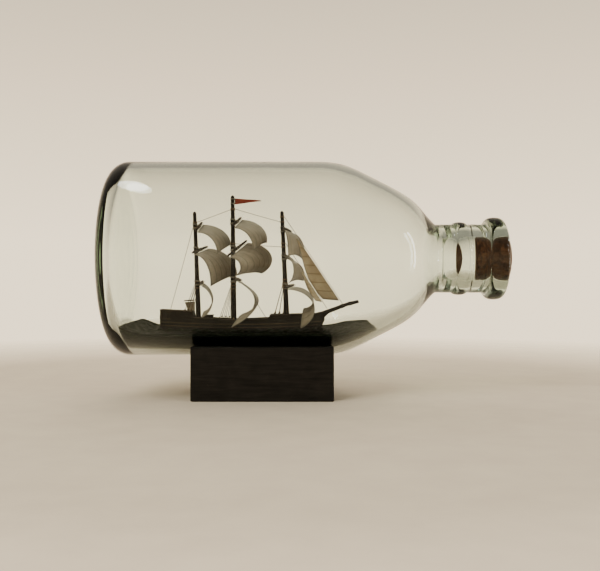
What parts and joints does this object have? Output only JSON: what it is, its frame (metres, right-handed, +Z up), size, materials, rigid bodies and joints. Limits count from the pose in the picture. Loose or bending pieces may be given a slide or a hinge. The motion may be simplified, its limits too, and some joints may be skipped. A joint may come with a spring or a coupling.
{
  "type": "ship in a bottle",
  "caption": "Model of a square-rigged sailing ship on a putty sea inside a corked glass bottle lying in a cradle block.",
  "frame": {"origin": "centre of the cradle block's underside, on the surface it stands on", "axes": "+X along the bottle from its base to its mouth, which is also from the ship's stern to its bow; +Z up; +Y is the ship's port side"},
  "size_m": [0.1966, 0.096, 0.1155],
  "materials": {
    "glass": "clear, faintly green-grey, smooth",
    "black_wood": "black stain, satin",
    "cork": "natural cork, reddish brown",
    "putty": "dark green putty worked into waves",
    "hull_wood": "dark stain with lighter strakes",
    "deck_wood": "dull varnish",
    "spar_wood": "dark stain",
    "sailcloth": "stiffened greige cloth, sewn seams",
    "jib_cloth": "stiffened tan cloth",
    "thread": "twisted brown thread",
    "red_cloth": "faded brick-red cloth",
    "brass": "dull brass wire"
  },
  "bodies": {
    "stand": {"stand_block": "black_wood"},
    "bottle": {"bottle": "glass", "backstay": "thread", "bowsprit": "spar_wood", "bulwark_port": "hull_wood", "bulwark_starboard": "hull_wood", "cargo_hatch": "hull_wood", "deckhouse": "hull_wood", "fore_hinge_pin": "brass", "fore_lower_sail": "sailcloth", "fore_lower_yard": "spar_wood", "fore_mast": "spar_wood", "fore_middle_sail": "sailcloth", "fore_middle_yard": "spar_wood", "fore_shroud_1": "thread", "fore_shroud_2": "thread", "fore_shroud_3": "thread", "fore_upper_sail": "sailcloth", "fore_upper_yard": "spar_wood", "forecastle_deck": "deck_wood", "hull": "hull_wood", "inner_jib": "jib_cloth", "inner_jib_stay": "thread", "main_hinge_pin": "brass", "main_lower_sail": "sailcloth", "main_lower_yard": "spar_wood", "main_mast": "spar_wood", "main_middle_sail": "sailcloth", "main_middle_stay": "thread", "main_middle_yard": "spar_wood", "main_sheet": "thread", "main_shroud_1": "thread", "main_shroud_2": "thread", "main_shroud_3": "thread", "main_top_stay": "thread", "main_upper_sail": "sailcloth", "main_upper_yard": "spar_wood", "mizzen_hinge_pin": "brass", "mizzen_lower_sail": "sailcloth", "mizzen_lower_yard": "spar_wood", "mizzen_mast": "spar_wood", "mizzen_middle_sail": "sailcloth", "mizzen_middle_yard": "spar_wood", "mizzen_shroud_1": "thread", "mizzen_shroud_2": "thread", "mizzen_shroud_3": "thread", "mizzen_stay": "thread", "mizzen_upper_sail": "sailcloth", "mizzen_upper_yard": "spar_wood", "outer_jib": "jib_cloth", "outer_jib_stay": "thread", "pennant": "red_cloth", "poop_deck": "deck_wood", "sea": "putty", "spanker": "sailcloth", "spanker_gaff": "spar_wood", "transom": "hull_wood"},
    "cork": {"cork": "cork"}
  },
  "joints": [
    {"name": "bottle_lift", "type": "slide", "parent": "stand", "child": "bottle", "axis": [0, 0, 1], "range_m": [0, 0.05]},
    {"name": "cork_pull", "type": "slide", "parent": "bottle", "child": "cork", "axis": [1, 0, 0], "range_m": [0, 0.03]}
  ]
}
